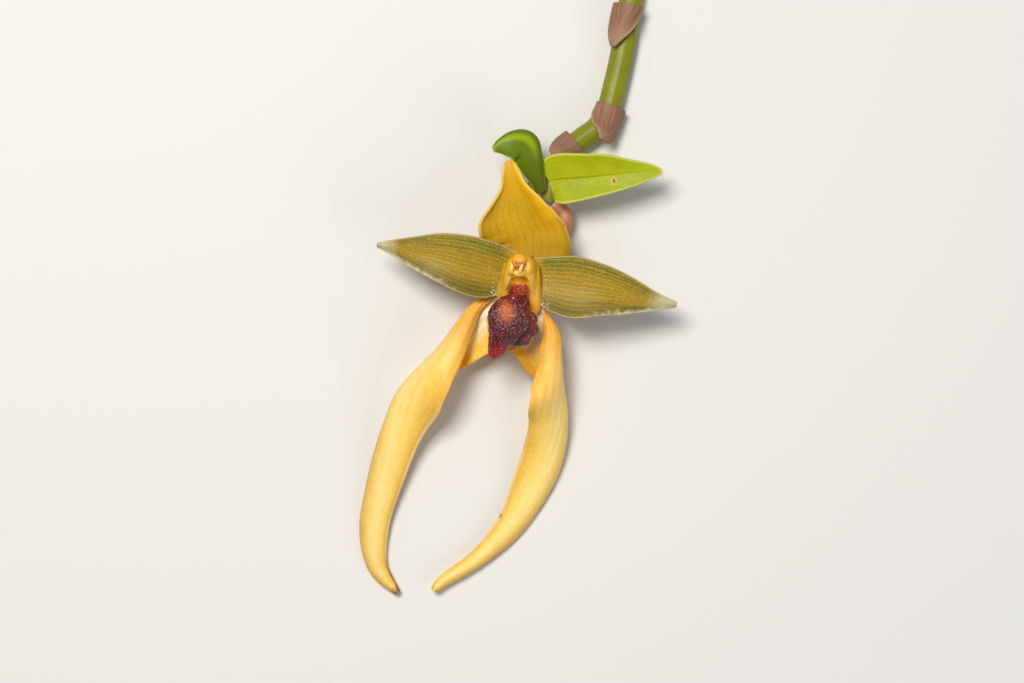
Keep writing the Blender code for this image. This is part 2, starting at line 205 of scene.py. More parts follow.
def sheet(name, rows, finish, counts=(120, 20), fold=0, roll=1.0, rim=(0, 0), up=UP, middle=0.95,
          edge=0.5, relief=None):
    """A closed sheet, thickest at its midrib, with round margins. The relief is added to both faces
    alike, in millimetres, from how far along and across the sheet each point is."""
    along = np.linspace(0, 1, counts[0] + 1)
    across = np.linspace(-1, 1, 2 * counts[1] + 1)
    grid = middle_of_sheet(rows, along, counts[1], fold, roll, rim, up)
    lift = normals_of(grid)
    if relief:
        grid = grid + lift * relief(along[:, None], across[None, :])[..., None]
        lift = normals_of(grid)
    half = (middle + (edge - middle) * across**2)[None, :, None] / 2
    faces_up, faces_down = grid + lift * half, grid - lift * half
    arc = np.radians(MARGIN_ARC)[None, :, None]

    def round_margin(c, inner):
        out = unit(grid[:, c] - grid[:, inner])[:, None]
        return grid[:, c][:, None] + (out * np.cos(arc) + lift[:, c][:, None] * np.sin(arc)) * edge / 2

    right, left = round_margin(-1, -2), round_margin(0, 1)[:, ::-1]
    points = np.concatenate([faces_up, right, faces_down[:, ::-1], left], axis=1)
    ring = points.shape[1]
    wide = len(across)
    turns = len(MARGIN_ARC)
    drawn_across = np.concatenate([across, np.ones(turns), across[::-1], -np.ones(turns)])
    upper = np.concatenate([np.ones(wide), np.full(turns, 0.5), np.zeros(wide), np.full(turns, 0.5)])
    faces = ring_quads(len(along), ring)
    for first in (0, counts[0] * ring):
        last = first + ring - turns - 1
        faces += [(first + c, first + c + 1, last - 1 - c, last - c) for c in range(wide - 1)]
        faces.append(tuple(first + wide - 1 + k for k in range(turns + 2)))
        faces.append(tuple(first + (ring - turns - 1 + k) % ring for k in range(turns + 2)))
    drawn = {
        "across": np.tile(drawn_across, (len(along), 1)),
        "along": np.tile(along[:, None], (1, ring)),
        "upper": np.tile(upper, (len(along), 1)),
    }
    return mesh_piece(name, points.reshape(-1, 3), faces, finish, drawn)


def paint(red, green, blue):
    """A colour from its 0 to 255 display values."""
    shares = [value / 255 for value in (red, green, blue)]
    return tuple(((s + 0.055) / 1.055) ** 2.4 if s > 0.04 else s / 12.92 for s in shares) + (1,)


class Value:
    """A socket that can stand in a sum. Each operator adds the Math node for it."""

    def __init__(self, tree, socket):
        self.tree = tree
        self.socket = socket

    def __add__(self, other):
        return self.tree.math("ADD", self, other)

    def __sub__(self, other):
        return self.tree.math("SUBTRACT", self, other)

    def __rsub__(self, other):
        return self.tree.math("SUBTRACT", other, self)

    def __mul__(self, other):
        return self.tree.math("MULTIPLY", self, other)

    __radd__ = __add__
    __rmul__ = __mul__


class Tree:
    """A node tree under construction."""

    def __init__(self, tree):
        self.tree = tree

    def node(self, kind, settings, inputs, output=0):
        """Adds a node: its settings first, then the values or links that it takes."""
        made = self.tree.nodes.new(kind)
        for key, value in settings.items():
            setattr(made, key, value)
        for key, value in inputs.items():
            self.feed(made.inputs[key], value)
        return Value(self, made.outputs[output])

    def feed(self, socket, value):
        if isinstance(value, Value):
            self.tree.links.new(value.socket, socket)
        else:
            socket.default_value = value

    def math(self, operation, *terms):
        return self.node("ShaderNodeMath", {"operation": operation}, dict(enumerate(terms)))


class Finish(Tree):
    """A material on a Principled shader, whose sockets are named with low lines for spaces."""

    def __init__(self, name, **constants):
        self.material = bpy.data.materials.new(name)
        self.material.use_nodes = True
        super().__init__(self.material.node_tree)
        self.shader = self.tree.nodes["Principled BSDF"]
        for socket, value in constants.items():
            self.shader.inputs[socket.replace("_", " ")].default_value = value
        self.place = self.node("ShaderNodeTexCoord", {}, {}, "Object")

    def drawn(self, name):
        """A number that the mesh carries at each point."""
        return self.node("ShaderNodeAttribute", {"attribute_name": name}, {}, "Fac")

    def millimetres(self):
        """The x, y and z of each point."""
        axes = self.tree.nodes.new("ShaderNodeSeparateXYZ")
        self.feed(axes.inputs[0], self.place)
        return [Value(self, axes.outputs[k]) * (1 / MM) for k in range(3)]

    def distance(self, x, y):
        return self.math("SQRT", x * x + y * y)

    def mix(self, share, *colours):
        """Two colours mixed. Each is a Value, or red, green and blue as a screen shows them."""
        first, second = (c if isinstance(c, Value) else paint(*c) for c in colours)
        return self.node("ShaderNodeMix", {"data_type": "RGBA"}, {0: share, 6: first, 7: second}, 2)

    def layers(self, colour, *coats):
        """A colour under coats of others. Each coat is how much of it shows, and its colour."""
        for share, coat in coats:
            colour = self.mix(share, colour, coat)
        return colour

    def ease(self, value, low, high):
        """0 at low and 1 at high, smooth between them."""
        inputs = {"Value": value, "From Min": low, "From Max": high}
        return self.node("ShaderNodeMapRange", {"interpolation_type": "SMOOTHSTEP"}, inputs)

    def far(self, value):
        return self.math("ABSOLUTE", value)

    def noise(self, size, detail=2.0):
        """Soft noise about 0.5, with features of a size in millimetres."""
        inputs = {"Vector": self.place, "Scale": 1 / (size * MM), "Detail": detail}
        return self.node("ShaderNodeTexNoise", {}, inputs, "Fac")

    def cells(self, size, output="Distance"):
        inputs = {"Vector": self.place, "Scale": 1 / (size * MM)}
        return self.node("ShaderNodeTexVoronoi", {}, inputs, output)

    def streaks(self, fine, long):
        """Noise that is drawn out along a sheet."""
        places = {0: self.drawn("across") * fine, 1: self.drawn("along") * long}
        spot = self.node("ShaderNodeCombineXYZ", {}, places)
        return self.node("ShaderNodeTexNoise", {}, {"Vector": spot, "Scale": 1.0, "Detail": 3.0}, "Fac")

    def veins(self, count, width):
        """1 on fine lines that run along a sheet, 0 between them."""
        swerve = (self.noise(3.0, 1.0) - 0.5) * 0.03
        line = self.math("PINGPONG", (self.drawn("across") + swerve) * count, 0.5)
        return self.ease(line, width, 0.0)

    def specks(self, size, share, cut=0.32):
        """1 on round specks in a share of cells of a size."""
        chosen = self.ease(self.cells(size, "Color"), 1 - share, 1 - share + 0.01)
        return self.ease(self.cells(size), cut, cut * 0.5) * chosen

    def finish_with(self, colour, roughness, height, depth, strength=0.6):
        """Links the colour and roughness, and a bump whose full height is a depth in millimetres."""
        self.feed(self.shader.inputs["Base Color"], colour)
        self.feed(self.shader.inputs["Roughness"], roughness)
        bump_inputs = {"Strength": strength, "Distance": depth * MM, "Height": height}
        self.feed(self.shader.inputs["Normal"], self.node("ShaderNodeBump", {}, bump_inputs))


def settle(piece, node):
    """The piece stands for a CAD node, whose part it hides, and moves with the flower."""
    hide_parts(node)
    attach(piece, "root")


def hood_finish():
    skin = Finish("golden_hood", Subsurface_Weight=0.12, Subsurface_Scale=0.0012, IOR=1.42,
                  Specular_IOR_Level=0.3)
    skin.shader.inputs["Subsurface Radius"].default_value = (1.0, 0.6, 0.12)
    across, along = skin.drawn("across"), skin.drawn("along")
    wander = (skin.noise(3.0) - 0.5) * 0.4
    right_half = skin.ease(across + wander, 0.2, 0.75) * skin.ease(along, 0.12, 0.30)
    left_half = skin.ease(across, 0.5, -0.2)
    low = skin.ease(along, 0.66, 0.44)
    grain = skin.ease(skin.noise(0.26, 1.0), 0.50, 0.64)
    highlight_band = skin.ease(across, 0.58, 0.80) * skin.ease(along, 0.22, 0.40)
    margin = skin.ease(skin.far(across), 0.965, 1.0)
    specks = skin.specks(0.8, 0.24, 0.26) * skin.ease(along + wander * 0.2, 0.36, 0.26)
    colour = skin.layers(
        skin.mix(skin.noise(4.0), (186, 145, 0), (212, 163, 2)),
        (skin.ease(along, 0.42, 0.05), (182, 143, 4)),
        (skin.ease(along, 0.50, 0.85), (218, 160, 18)),
        (right_half * 0.7, (206, 146, 4)),
        (grain * low * (0.10 + left_half * 0.26), (228, 188, 72)),
        (skin.veins(5.5, 0.18) * low * 0.24, (136, 100, 2)),
        # Painted highlight: the rolled right margin painted brighter.
        (highlight_band * 0.85, (244, 190, 16)),
        (margin * 0.6, (240, 206, 124)),
        (specks * 0.8, (150, 50, 10)),
    )
    height = grain * 0.6 + skin.noise(0.16, 2.0)
    skin.finish_with(colour, 0.36 + skin.noise(0.5) * 0.2, height, 0.05)
    return skin


def hood_relief(along, across):
    furrows = -0.015 * np.cos(across * 5.5 * 2 * math.pi) * np.clip(1.6 - 2 * along, 0, 1)
    waves = 0.08 * np.sin(along * 26) * np.clip(-across * 3 - 2, 0, 1)
    return furrows + waves


hood = sheet("hood", DORSAL_SEPAL, hood_finish(), (130, 28), roll=1.8, rim=(0, -70), relief=hood_relief)
settle(hood, "dorsal_sepal")


# The two petals are spread wide, thin and a little cupped. They are olive green with yellow veins
# and fine grains. The lower edge silvers towards the tip, and the base is yellow. Painted shade
# darkens the lower half towards its margin, and a pale painted sheen lies on the low corner of the base.
LEFT_PETAL = [
    (-1.0, 2.8, 11.2, 3.6, 4.2, 0, 8, 8),
    (-3.2, 3.3, 11.6, 4.4, 4.7, 0, 15, 15),
    (-5.6, 3.9, 12.0, 5.5, 5.1, 0, 20, 20),
    (-9.6, 5.0, 12.8, 5.6, 5.2, 0, 22, 22),
    (-14.2, 6.2, 13.2, 4.5, 4.3, 3, 20, 15),
    (-18.8, 7.1, 12.8, 3.0, 2.8, 8, 12, 5),
    (-22.6, 7.9, 12.0, 1.5, 1.4, 12, 5, 0),
    (-25.8, 8.4, 11.0, 0.3, 0.3, 14, 0, 0),
]
RIGHT_PETAL = [
    (2.6, 1.7, 11.2, 4.2, 3.4, 0, 8, 8),
    (4.9, 1.4, 11.6, 4.6, 4.2, 0, 15, 15),
    (6.9, 1.2, 12.0, 5.0, 5.2, 0, 20, 20),
    (11.0, 0.6, 12.8, 5.6, 6.0, 0, 22, 22),
    (15.6, 0.0, 13.2, 4.7, 4.8, -3, 15, 20),
    (20.2, -0.9, 12.8, 3.4, 3.6, -8, 5, 12),
    (25.0, -2.0, 11.8, 1.8, 1.8, -12, 0, 5),
    (29.5, -2.7, 10.8, 0.4, 0.4, -14, 0, 0),
]


def petal_finish(name, lower):
    """The lower margin is at -1 or 1 across the petal."""
    skin = Finish(name, Subsurface_Weight=0.10, Subsurface_Scale=0.001, IOR=1.42, Specular_IOR_Level=0.3)
    across, along = skin.drawn("across") * lower, skin.drawn("along")
    wander = (skin.noise(2.5) - 0.5) * 0.6
    mottle = (skin.noise(1.2, 3.0) - 0.5) * 1.1
    middle = skin.ease(skin.far(across - 0.05) + wander, 0.95, 0.25)
    green = skin.ease(wander - across, 0.40, 0.85) * skin.ease(along, 0.06, 0.14)
    green = green * skin.ease(along, 0.75, 0.4)
    light_grain = skin.ease(skin.noise(0.22, 1.5), 0.52, 0.64)
    dark_grain = skin.ease(skin.noise(0.26, 1.5), 0.46, 0.36)
    low = skin.ease(across, 0.25, 0.85) * skin.ease(along, 0.08, 0.2)
    silver = skin.ease(across * 1.5 + along * 1.2 + mottle, 1.90, 2.55) * skin.ease(along, 0.14, 0.5)
    tip = skin.ease(along + mottle * 0.06, 0.80, 0.95)
    specks = skin.specks(1.0, 0.30, 0.20) * skin.ease(along, 0.75, 0.6)
    base_sheen = skin.ease(along + mottle * 0.03, 0.15, 0.09) * skin.ease(across, 0.2, 0.9)
    margin = skin.ease(skin.far(across), 0.975, 1.0)
    colour = skin.layers(
        skin.mix(middle, (102, 98, 18), (154, 124, 8)),
        (green * 0.65, (98, 110, 38)),
        (skin.ease(along, 0.18, 0.02), (188, 150, 8)),
        (skin.ease(skin.streaks(14, 3), 0.42, 0.66) * 0.30, (196, 160, 44)),
        (skin.ease(skin.streaks(20, 4), 0.50, 0.34) * 0.40, (104, 96, 12)),
        (skin.veins(6.5, 0.16) * 0.60, (212, 158, 10)),
        (light_grain * 0.34, (214, 190, 104)),
        (dark_grain * 0.28, (92, 84, 22)),
        # Painted shade: the lower half darker towards its margin, where the petal curves away.
        (low * 0.45, (84, 76, 26)),
        (skin.math("MAXIMUM", silver, tip) * 0.82, (212, 202, 164)),
        (specks * 0.55, (146, 70, 24)),
        # A pale painted sheen on the low corner of the base, where it glistens.
        (base_sheen * 0.5, (232, 220, 168)),
        (margin * 0.5, (206, 182, 128)),
    )
    height = light_grain * 0.7 + skin.noise(0.15, 2.0) * 0.7
    skin.finish_with(colour, 0.30 + skin.noise(0.4) * 0.25, height, 0.06)
    return skin


def petal_relief(along, across):
    furrows = -0.02 * np.cos(across * 6.5 * 2 * math.pi) * np.clip(1.1 - along, 0, 1)
    waves = 0.14 * np.sin(along * 17 + across) * np.clip(np.abs(across) * 2 - 1, 0, 1) * (1 - along)
    return furrows + waves


for petal_name, petal_rows, lower_margin in (
    ("left_petal", LEFT_PETAL, -1),
    ("right_petal", RIGHT_PETAL, 1),
):
    petal_skin = petal_finish(petal_name + "_skin", lower_margin)
    petal = sheet(petal_name + "_fine", petal_rows, petal_skin, (110, 26), fold=3, edge=0.4,
                  relief=petal_relief)
    settle(petal, petal_name)


# The two lateral sepals are thick yellow gutters. Each is turned half round on its way, so that the
# pale, glistening inside shows beside the lip and the smooth outside shows from there to the tip.
# The outside carries painted light: a pale painted highlight along its crest, painted shade on its
# outer edge and towards the tip. The left one ends in a burnt brown point, and the right one has a
# brown spot on its left edge.
LEFT_LATERAL_SEPAL = [
    (-2.6, -2.7, 9.15, 4.6, 1.6, 0, 5, 40),
    (-6.4, -2.6, 8.8, 7.6, 3.0, 0, 12, 215),
    (-10.4, -6.5, 8.9, 7.5, 5.6, 38, 62, 205),
    (-13.4, -9.9, 9.0, 7.1, 7.0, 72, 100, 150),
    (-17.1, -13.7, 8.6, 6.2, 8.3, 105, 90, 80),
    (-20.9, -19.2, 7.6, 5.2, 7.9, 135, 80, 50),
    (-23.1, -26.4, 6.3, 4.6, 5.4, 160, 85, 45),
    (-24.9, -35.3, 4.4, 4.8, 3.6, 175, 85, 40),
    (-26.6, -44.4, 2.8, 4.1, 2.5, 180, 80, 40),
    (-26.4, -51.6, 1.9, 2.3, 2.0, 180, 70, 40),
    (-22.4, -56.8, 1.8, 0.35, 0.35, 180, 30, 30),
]
RIGHT_LATERAL_SEPAL = [
    (3.0, -3.8, 9.1, 1.6, 3.8, 0, 20, 5),
    (5.3, -5.7, 8.8, 3.2, 8.4, -8, 195, 12),
    (7.0, -8.9, 8.8, 5.8, 8.5, -32, 210, 62),
    (7.7, -12.8, 8.9, 6.3, 7.9, -60, 185, 100),
    (8.4, -19.1, 7.9, 8.6, 6.5, -105, 60, 75),
    (8.0, -25.1, 6.3, 6.1, 5.4, -135, 50, 80),
    (6.3, -31.7, 4.25, 5.4, 4.6, -160, 45, 85),
    (3.0, -38.1, 3.1, 4.6, 4.1, -175, 40, 85),
    (-1.6, -44.4, 2.7, 2.4, 3.3, -180, 40, 75),
    (-7.6, -50.4, 2.55, 1.6, 1.8, -180, 40, 60),
    (-13.4, -54.2, 2.45, 1.0, 1.0, -180, 30, 35),
    (-15.2, -55.8, 2.4, 0.65, 0.65, -180, 20, 20),
    (-15.6, -56.4, 2.4, 0.2, 0.2, -180, 0, 0),
]
SEPAL_SPOT = (-3.2, -42.2)


def lateral_finish(name, lower, dark_tip):
    """The margin beside the lip is at -1 or 1 across the sepal, and past the half turn it is the outer
    one. Dark_tip is how burnt the tip looks, from 0 to 1."""
    skin = Finish(name, Subsurface_Weight=0.2, Subsurface_Scale=0.0015, IOR=1.42, Specular_IOR_Level=0.4)
    skin.shader.inputs["Subsurface Radius"].default_value = (1.0, 0.55, 0.15)
    across, along = skin.drawn("across") * lower, skin.drawn("along")
    x, y = skin.millimetres()[:2]
    wander = (skin.noise(2.5, 3.0) - 0.5) * 0.5
    highlight_crest = skin.far(across + skin.ease(along, 0.5, 0.15) * 0.6) + wander
    base = skin.ease(along + wander * 0.1, 0.42, 0.14)
    shaded_outer_edge = skin.ease(across, 0.05, 0.65) * skin.ease(along, 0.35, 0.7)
    stipple = skin.ease(skin.noise(0.24, 2.0), 0.54, 0.66)
    inner_edge = skin.ease(across, -0.86, -0.97) * skin.ease(along, 0.4, 0.6)
    tip = skin.ease(along + wander * 0.02, 0.965, 0.99)
    burnt = skin.ease(across + wander * 0.3, -0.65, -0.95) * skin.ease(along, 0.87, 0.94)
    from_spot = skin.distance(x - SEPAL_SPOT[0], y - SEPAL_SPOT[1]) + wander * 0.4
    outer = skin.layers(
        # Painted light across the outside: the middle of the blade painted paler than its edges, and a
        # cream painted highlight along the crest.
        skin.mix(skin.ease(highlight_crest, 0.95, 0.40), (234, 176, 38), (248, 206, 88)),
        (skin.ease(highlight_crest, 0.62, -0.10) * 0.6, (252, 228, 150)),
        (skin.ease(skin.streaks(18, 5), 0.5, 0.7) * 0.22, (255, 230, 156)),
        (skin.ease(skin.streaks(9, 7), 0.5, 0.36) * 0.20, (236, 176, 46)),
        (base * 0.92, (242, 166, 0)),
        # Painted shade where the outer edge curls under, together with the edge's real brown stipple.
        (shaded_outer_edge * (0.25 + stipple * 0.35), (194, 138, 42)),
        (inner_edge * 0.5, (250, 220, 166)),
        # Painted shade: the blade darker towards the tip.
        (skin.ease(along, 0.80, 1.0) * 0.35, (196, 146, 50)),
        (tip * dark_tip, (108, 46, 18)),
        (burnt * dark_tip, (124, 60, 26)),
        (skin.ease(from_spot, 0.55, 0.25) * 0.8, (140, 54, 24)),
    )
    inner = skin.layers(
        skin.mix(skin.ease(skin.streaks(13, 6), 0.48, 0.68), (250, 236, 196), (238, 198, 104)),
        (skin.ease(along + wander * 0.1, 0.12, 0.23) * 0.8, (252, 202, 64)),
        (skin.ease(across + wander * 0.5, 0.45, 0.85), (252, 186, 12)),
    )
    inside = skin.ease(skin.drawn("upper"), 0.45, 0.75)
    outside = 1 - inside
    grain = skin.ease(skin.noise(0.22, 1.5), 0.50, 0.62)
    specks = skin.specks(0.8, 0.30, 0.30) * skin.ease(along, 0.26, 0.10) * outside
    rust = skin.ease(along + wander * 0.08, 0.11, 0.04) * outside
    glint = skin.specks(0.4, 0.3, 0.4) * inside
    colour = skin.layers(
        skin.mix(inside, outer, inner),
        (grain * 0.26, (255, 240, 196)),
        (specks * 0.85, (204, 66, 8)),
        (rust * 0.55, (232, 112, 10)),
        (glint * 0.7, (255, 255, 246)),
    )
    height = grain * 0.5 + skin.noise(0.14, 2.0) + skin.streaks(30, 6) * 0.5
    skin.finish_with(colour, 0.30 + skin.noise(0.35) * 0.22 - glint * 0.2, height, 0.05)
    return skin


def lateral_relief(along, across):
    ridges = 0.05 * np.cos(across * 4.5 * 2 * math.pi) * np.clip(1.2 - 1.4 * along, 0, 1)
    waves = 0.12 * np.sin(along * 40 + 3 * across) * np.clip(np.abs(across) * 3 - 2, 0, 1)
    return ridges + waves * np.clip(1.3 - along, 0, 1)


for side_name, side_rows, lower_margin, tip_share in (
    ("left", LEFT_LATERAL_SEPAL, -1, 0.85),
    ("right", RIGHT_LATERAL_SEPAL, 1, 0.0),
):
    lateral_skin = lateral_finish(side_name + "_lateral_skin", lower_margin, tip_share)
    lateral = sheet(side_name + "_lateral_fine", side_rows, lateral_skin, (200, 34), relief=lateral_relief)
    settle(lateral, side_name + "_lateral_sepal")


# The column is the flower's one central body. Its foot is a channel that carries the lip, its sides
# rise as pale wings to the hood that holds the anther, and two teeth stand in front of it. The
# stigma is a hollow below, over a patch of dark red spots. Its parts are melted into one skin.
COLUMN_FOOT = [
    (0.8, 5.6, 11.6, 4.4, 4.4, 0, 85, 85),
    (0.7, 3.2, 10.9, 5.0, 5.0, 0, 85, 85),
    (0.6, 0.8, 10.6, 4.6, 4.8, 0, 72, 72),
    (0.3, -2.0, 10.4, 3.9, 4.4, 0, 58, 58),
    (-0.4, -5.2, 10.2, 2.4, 2.4, 0, 35, 35),
]
COLUMN_BODY = [
    # x, y, z and radius
    (0.8, 4.1, 10.9, 2.2),
    (0.8, 4.1, 12.0, 2.8),
    (0.8, 4.1, 13.6, 2.95),
    (0.75, 4.1, 15.0, 2.85),
    (0.7, 4.1, 16.0, 2.4),
    (0.6, 4.1, 16.5, 1.7),
]
COLUMN_TEETH = [
    [(-1.2, 3.0, 16.0, 0.5), (-1.1, 3.2, 17.2, 0.38), (-0.95, 4.1, 18.2, 0.36), (-0.9, 4.9, 18.5, 0.12)],
    [(0.6, 2.9, 16.2, 0.45), (0.55, 3.2, 17.6, 0.34), (0.75, 4.0, 18.6, 0.33), (1.15, 4.7, 18.8, 0.12)],
]
COLUMN_WINGS = [
    # x, y, z, left width, right width, turn, left curl, right curl
    [
        (-1.1, 4.4, 16.0, 0.4, 0.6, -20, 0, -25),
        (-1.5, 3.3, 15.7, 0.6, 0.8, -30, 0, -25),
        (-1.9, 2.1, 14.9, 0.7, 0.8, -40, 0, -25),
        (-2.2, 1.0, 13.9, 0.6, 0.7, -45, 0, -25),
        (-2.4, -0.1, 12.9, 0.3, 0.4, -50, 0, -25),
    ],
    [
        (2.2, 4.4, 16.0, 0.6, 0.5, 20, -25, 0),
        (2.5, 3.1, 15.7, 0.9, 0.8, 30, -25, 0),
        (2.9, 1.7, 14.8, 0.9, 0.9, 40, -25, 0),
        (3.2, 0.4, 13.7, 0.8, 0.8, 45, -25, 0),
        (3.5, -0.9, 12.6, 0.4, 0.4, 50, -25, 0),
    ],
]
COLUMN_FLANKS = [
    [(-1.2, 4.4, 13.4, 1.3), (-1.6, 2.2, 13.1, 1.35), (-2.0, 0.0, 12.3, 1.3), (-2.2, -2.0, 11.4, 1.1),
     (-1.8, -3.6, 10.7, 0.8)],
    [(2.8, 4.4, 13.4, 1.4), (2.9, 2.2, 13.1, 1.5), (3.1, 0.0, 12.3, 1.5), (3.3, -2.0, 11.5, 1.4),
     (3.2, -3.4, 10.9, 1.15), (2.8, -4.3, 10.5, 0.8)],
]
ROSTELLUM = [(-0.6, 3.6, 16.6, 0.4), (-0.2, 3.1, 16.75, 0.55), (0.4, 2.95, 16.8, 0.62),
             (1.0, 3.1, 16.75, 0.55), (1.4, 3.6, 16.6, 0.4)]
STIGMA = [(0.6, 0.5, 16.9, 1.6), (0.6, 1.0, 14.9, 1.8), (0.6, 1.2, 13.9, 1.3)]
STIGMA_FLOOR = [(0.5, 3.0, 12.9, 1.5), (0.5, 2.4, 12.6, 1.9), (0.5, 0.9, 12.0, 1.9), (0.5, -0.6, 11.1, 1.6)]
COLUMN_VOXEL = 0.11
COLUMN_SMOOTHING = 14


def round_body(name, rows, finish, counts, up=UP, squash=1.0, relief=None):
    """A body round a centre line of (x, y, z, radius). The relief pushes each point outwards."""
    along = np.linspace(0, 1, counts[0] + 1)
    angle = np.linspace(0, 2 * math.pi, counts[1], endpoint=False)
    table = read_curve(rows, along)
    heading = headings(rows, along)
    side = unit(np.cross(heading, up))
    normal = np.cross(side, heading)
    out = side[:, None] * np.cos(angle)[None, :, None]
    out = out + normal[:, None] * np.sin(angle)[None, :, None] * squash
    reach = table[:, 3][:, None, None]
    if relief:
        reach = reach + relief(along[:, None], angle[None, :])[..., None]
    points = (table[:, None, :3] + out * reach).reshape(-1, 3)
    ends = np.stack([table[0, :3], table[-1, :3]])
    last = counts[0] * counts[1]
    centre = len(points)
    faces = ring_quads(len(along), counts[1])
    for first, middle in ((0, centre), (last, centre + 1)):
        faces += [(first + k, first + (k + 1) % counts[1], middle) for k in range(counts[1])]
    drawn = {
        "along": np.append(np.repeat(along, counts[1]), (0, 1)),
        "cut": np.append(np.zeros(centre), (1, 1)),
    }
    return mesh_piece(name, np.concatenate([points, ends]), faces, finish, drawn)


def settled_mesh(piece):
    """Applies an object's modifiers to its mesh."""
    graph = bpy.context.evaluated_depsgraph_get()
    result = bpy.data.meshes.new_from_object(piece.evaluated_get(graph))
    piece.modifiers.clear()
    piece.data = result


def melted(name, bodies, hollows, voxel, smoothing, finish):
    """Bodies melted into one smooth skin, with hollows cut from it. It is worked on at a thousand
    times its size, because the remesh takes no voxel under a tenth of a millimetre."""
    for body in bodies + hollows:
        body.data.transform(Matrix.Scale(1 / MM, 4))
    joined = bmesh.new()
    for body in bodies:
        joined.from_mesh(body.data)
    mesh = bpy.data.meshes.new(name)
    joined.to_mesh(mesh)
    joined.free()
    piece = placed(name, mesh)

    def remesh():
        skin = piece.modifiers.new("skin", "REMESH")
        skin.mode = "VOXEL"
        skin.voxel_size = voxel

    remesh()
    for hollow in hollows:
        cut = piece.modifiers.new("hollow", "BOOLEAN")
        cut.operation = "DIFFERENCE"
        cut.solver = "MANIFOLD"
        cut.object = hollow
    remesh()
    soft = piece.modifiers.new("soft", "SMOOTH")
    soft.iterations = smoothing
    soft.factor = 0.5
    settled_mesh(piece)
    piece.data.transform(Matrix.Scale(MM, 4))
    piece.data.shade_smooth()
    piece.data.materials.clear()
    piece.data.materials.append(finish.material)
    for body in bodies + hollows:
        bpy.data.objects.remove(body)
    return piece


def column_finish():
    skin = Finish("amber_column", Subsurface_Weight=0.35, Subsurface_Scale=0.0018, IOR=1.45)
    skin.shader.inputs["Subsurface Radius"].default_value = (1.0, 0.55, 0.15)
    x, y, z = skin.millimetres()
    wobble = (skin.noise(0.8) - 0.5) * 1.4
    crown = skin.ease(y, 4.2, 6.2)
    from_cap = skin.distance(x - 0.5, y - 4.9)
    from_middle = skin.far(x - 0.4)
    wall = skin.ease(from_middle, 2.2, 1.4) * skin.ease(y, 3.2, 2.6)
    wing = skin.ease(z - y * 0.5, 13.0, 14.4) * skin.ease(y, 4.4, 2.6)
    wing = wing * skin.ease(skin.far(x - 0.6), 1.1, 2.1)
    low = skin.ease(y + wobble * 0.5, -0.6, -2.8)
    spots = skin.ease(skin.noise(0.30, 1.0), 0.44, 0.60)
    reach = skin.far(y + 1.0 + wobble * 0.3) - spots * 0.35
    patch = skin.ease(reach, 2.3, 1.5) * skin.ease(from_middle + wobble * 0.3, 2.3, 1.7)
    patch = patch * skin.ease(z, 14.2, 13.6)
    teeth = skin.ease(z, 16.7, 17.6)
    freckles = skin.specks(0.8, 0.3, 0.2) * skin.ease(x, 2.4, 3.0) * skin.ease(y, 2.6, 1.6)
    colour = skin.layers(
        skin.mix(skin.noise(1.5), (208, 150, 16), (222, 168, 28)),
        (crown * 0.75, (208, 164, 10)),
        (skin.ease(from_cap, 2.6, 1.5) * 0.7, (244, 184, 28)),
        (wall * 0.9, (252, 180, 30)),
        (wing * 0.45, (236, 196, 104)),
        (low * 0.7, (236, 152, 30)),
        (patch * 0.95, skin.mix(spots, (196, 88, 66), (136, 24, 38))),
        (teeth * 0.9, (252, 216, 108)),
        (skin.ease(z, 17.6, 18.4) * 0.5, (255, 238, 180)),
        (freckles * 0.7, (176, 66, 16)),
    )
    skin.finish_with(colour, 0.22 + skin.noise(0.6) * 0.18, skin.noise(0.25, 2.0), 0.03)
    return skin


column_skin = column_finish()
back = (0, -1, 0)
column_bodies = [round_body("column_body", COLUMN_BODY, column_skin, (24, 40), back, squash=0.84)]
column_bodies.append(sheet("column_foot", COLUMN_FOOT, column_skin, (40, 20)))
for tooth_rows in COLUMN_TEETH + [ROSTELLUM]:
    column_bodies.append(round_body("tooth", tooth_rows, column_skin, (14, 16), back))
for wing_rows in COLUMN_WINGS:
    column_bodies.append(sheet("wing", wing_rows, column_skin, (24, 8), middle=0.8, edge=0.6))
for flank_rows in COLUMN_FLANKS:
    column_bodies.append(round_body("flank", flank_rows, column_skin, (24, 24)))
column_bodies.append(round_body("stigma_floor", STIGMA_FLOOR, column_skin, (20, 30), squash=0.7))
stigma_hollow = round_body("stigma", STIGMA, column_skin, (14, 30), back)
column = melted("column_fine", column_bodies, [stigma_hollow], COLUMN_VOXEL, COLUMN_SMOOTHING, column_skin)
settle(column, "column")


# The anther cap sits on the end of the column: an orange dome with red blotches and a shallow
# furrow down its middle. The wax-yellow pollen masses lie under it, as one small body.
CAP_BASE = (0.4, 5.3, 17.15)
CAP_RADIUS = 1.38
CAP_WALL = 0.6
CAP_LEAN = 0.2
CAP_SIDES = 36
CAP_FURROW = 0.12
POLLEN = [(0.4, 5.02, 17.1, 0.2), (0.4, 5.1, 17.14, 0.36), (0.4, 5.3, 17.16, 0.42),
          (0.4, 5.5, 17.2, 0.36), (0.4, 5.58, 17.22, 0.2)]


def cap_finish():
    skin = Finish("orange_cap", Subsurface_Weight=0.2, Subsurface_Scale=0.0008, IOR=1.42)
    front = skin.ease(skin.millimetres()[1], 5.6, 4.6)
    blotch = skin.ease(skin.noise(0.5, 1.5), 0.48, 0.56) * front
    colour = skin.layers(
        skin.mix(skin.noise(1.0), (234, 158, 20), (244, 182, 56)),
        (front * 0.6, (240, 164, 84)),
        (blotch * 0.85, (170, 56, 22)),
    )
    skin.finish_with(colour, 0.32 + skin.noise(0.3) * 0.2, skin.noise(0.2), 0.03)
    return skin


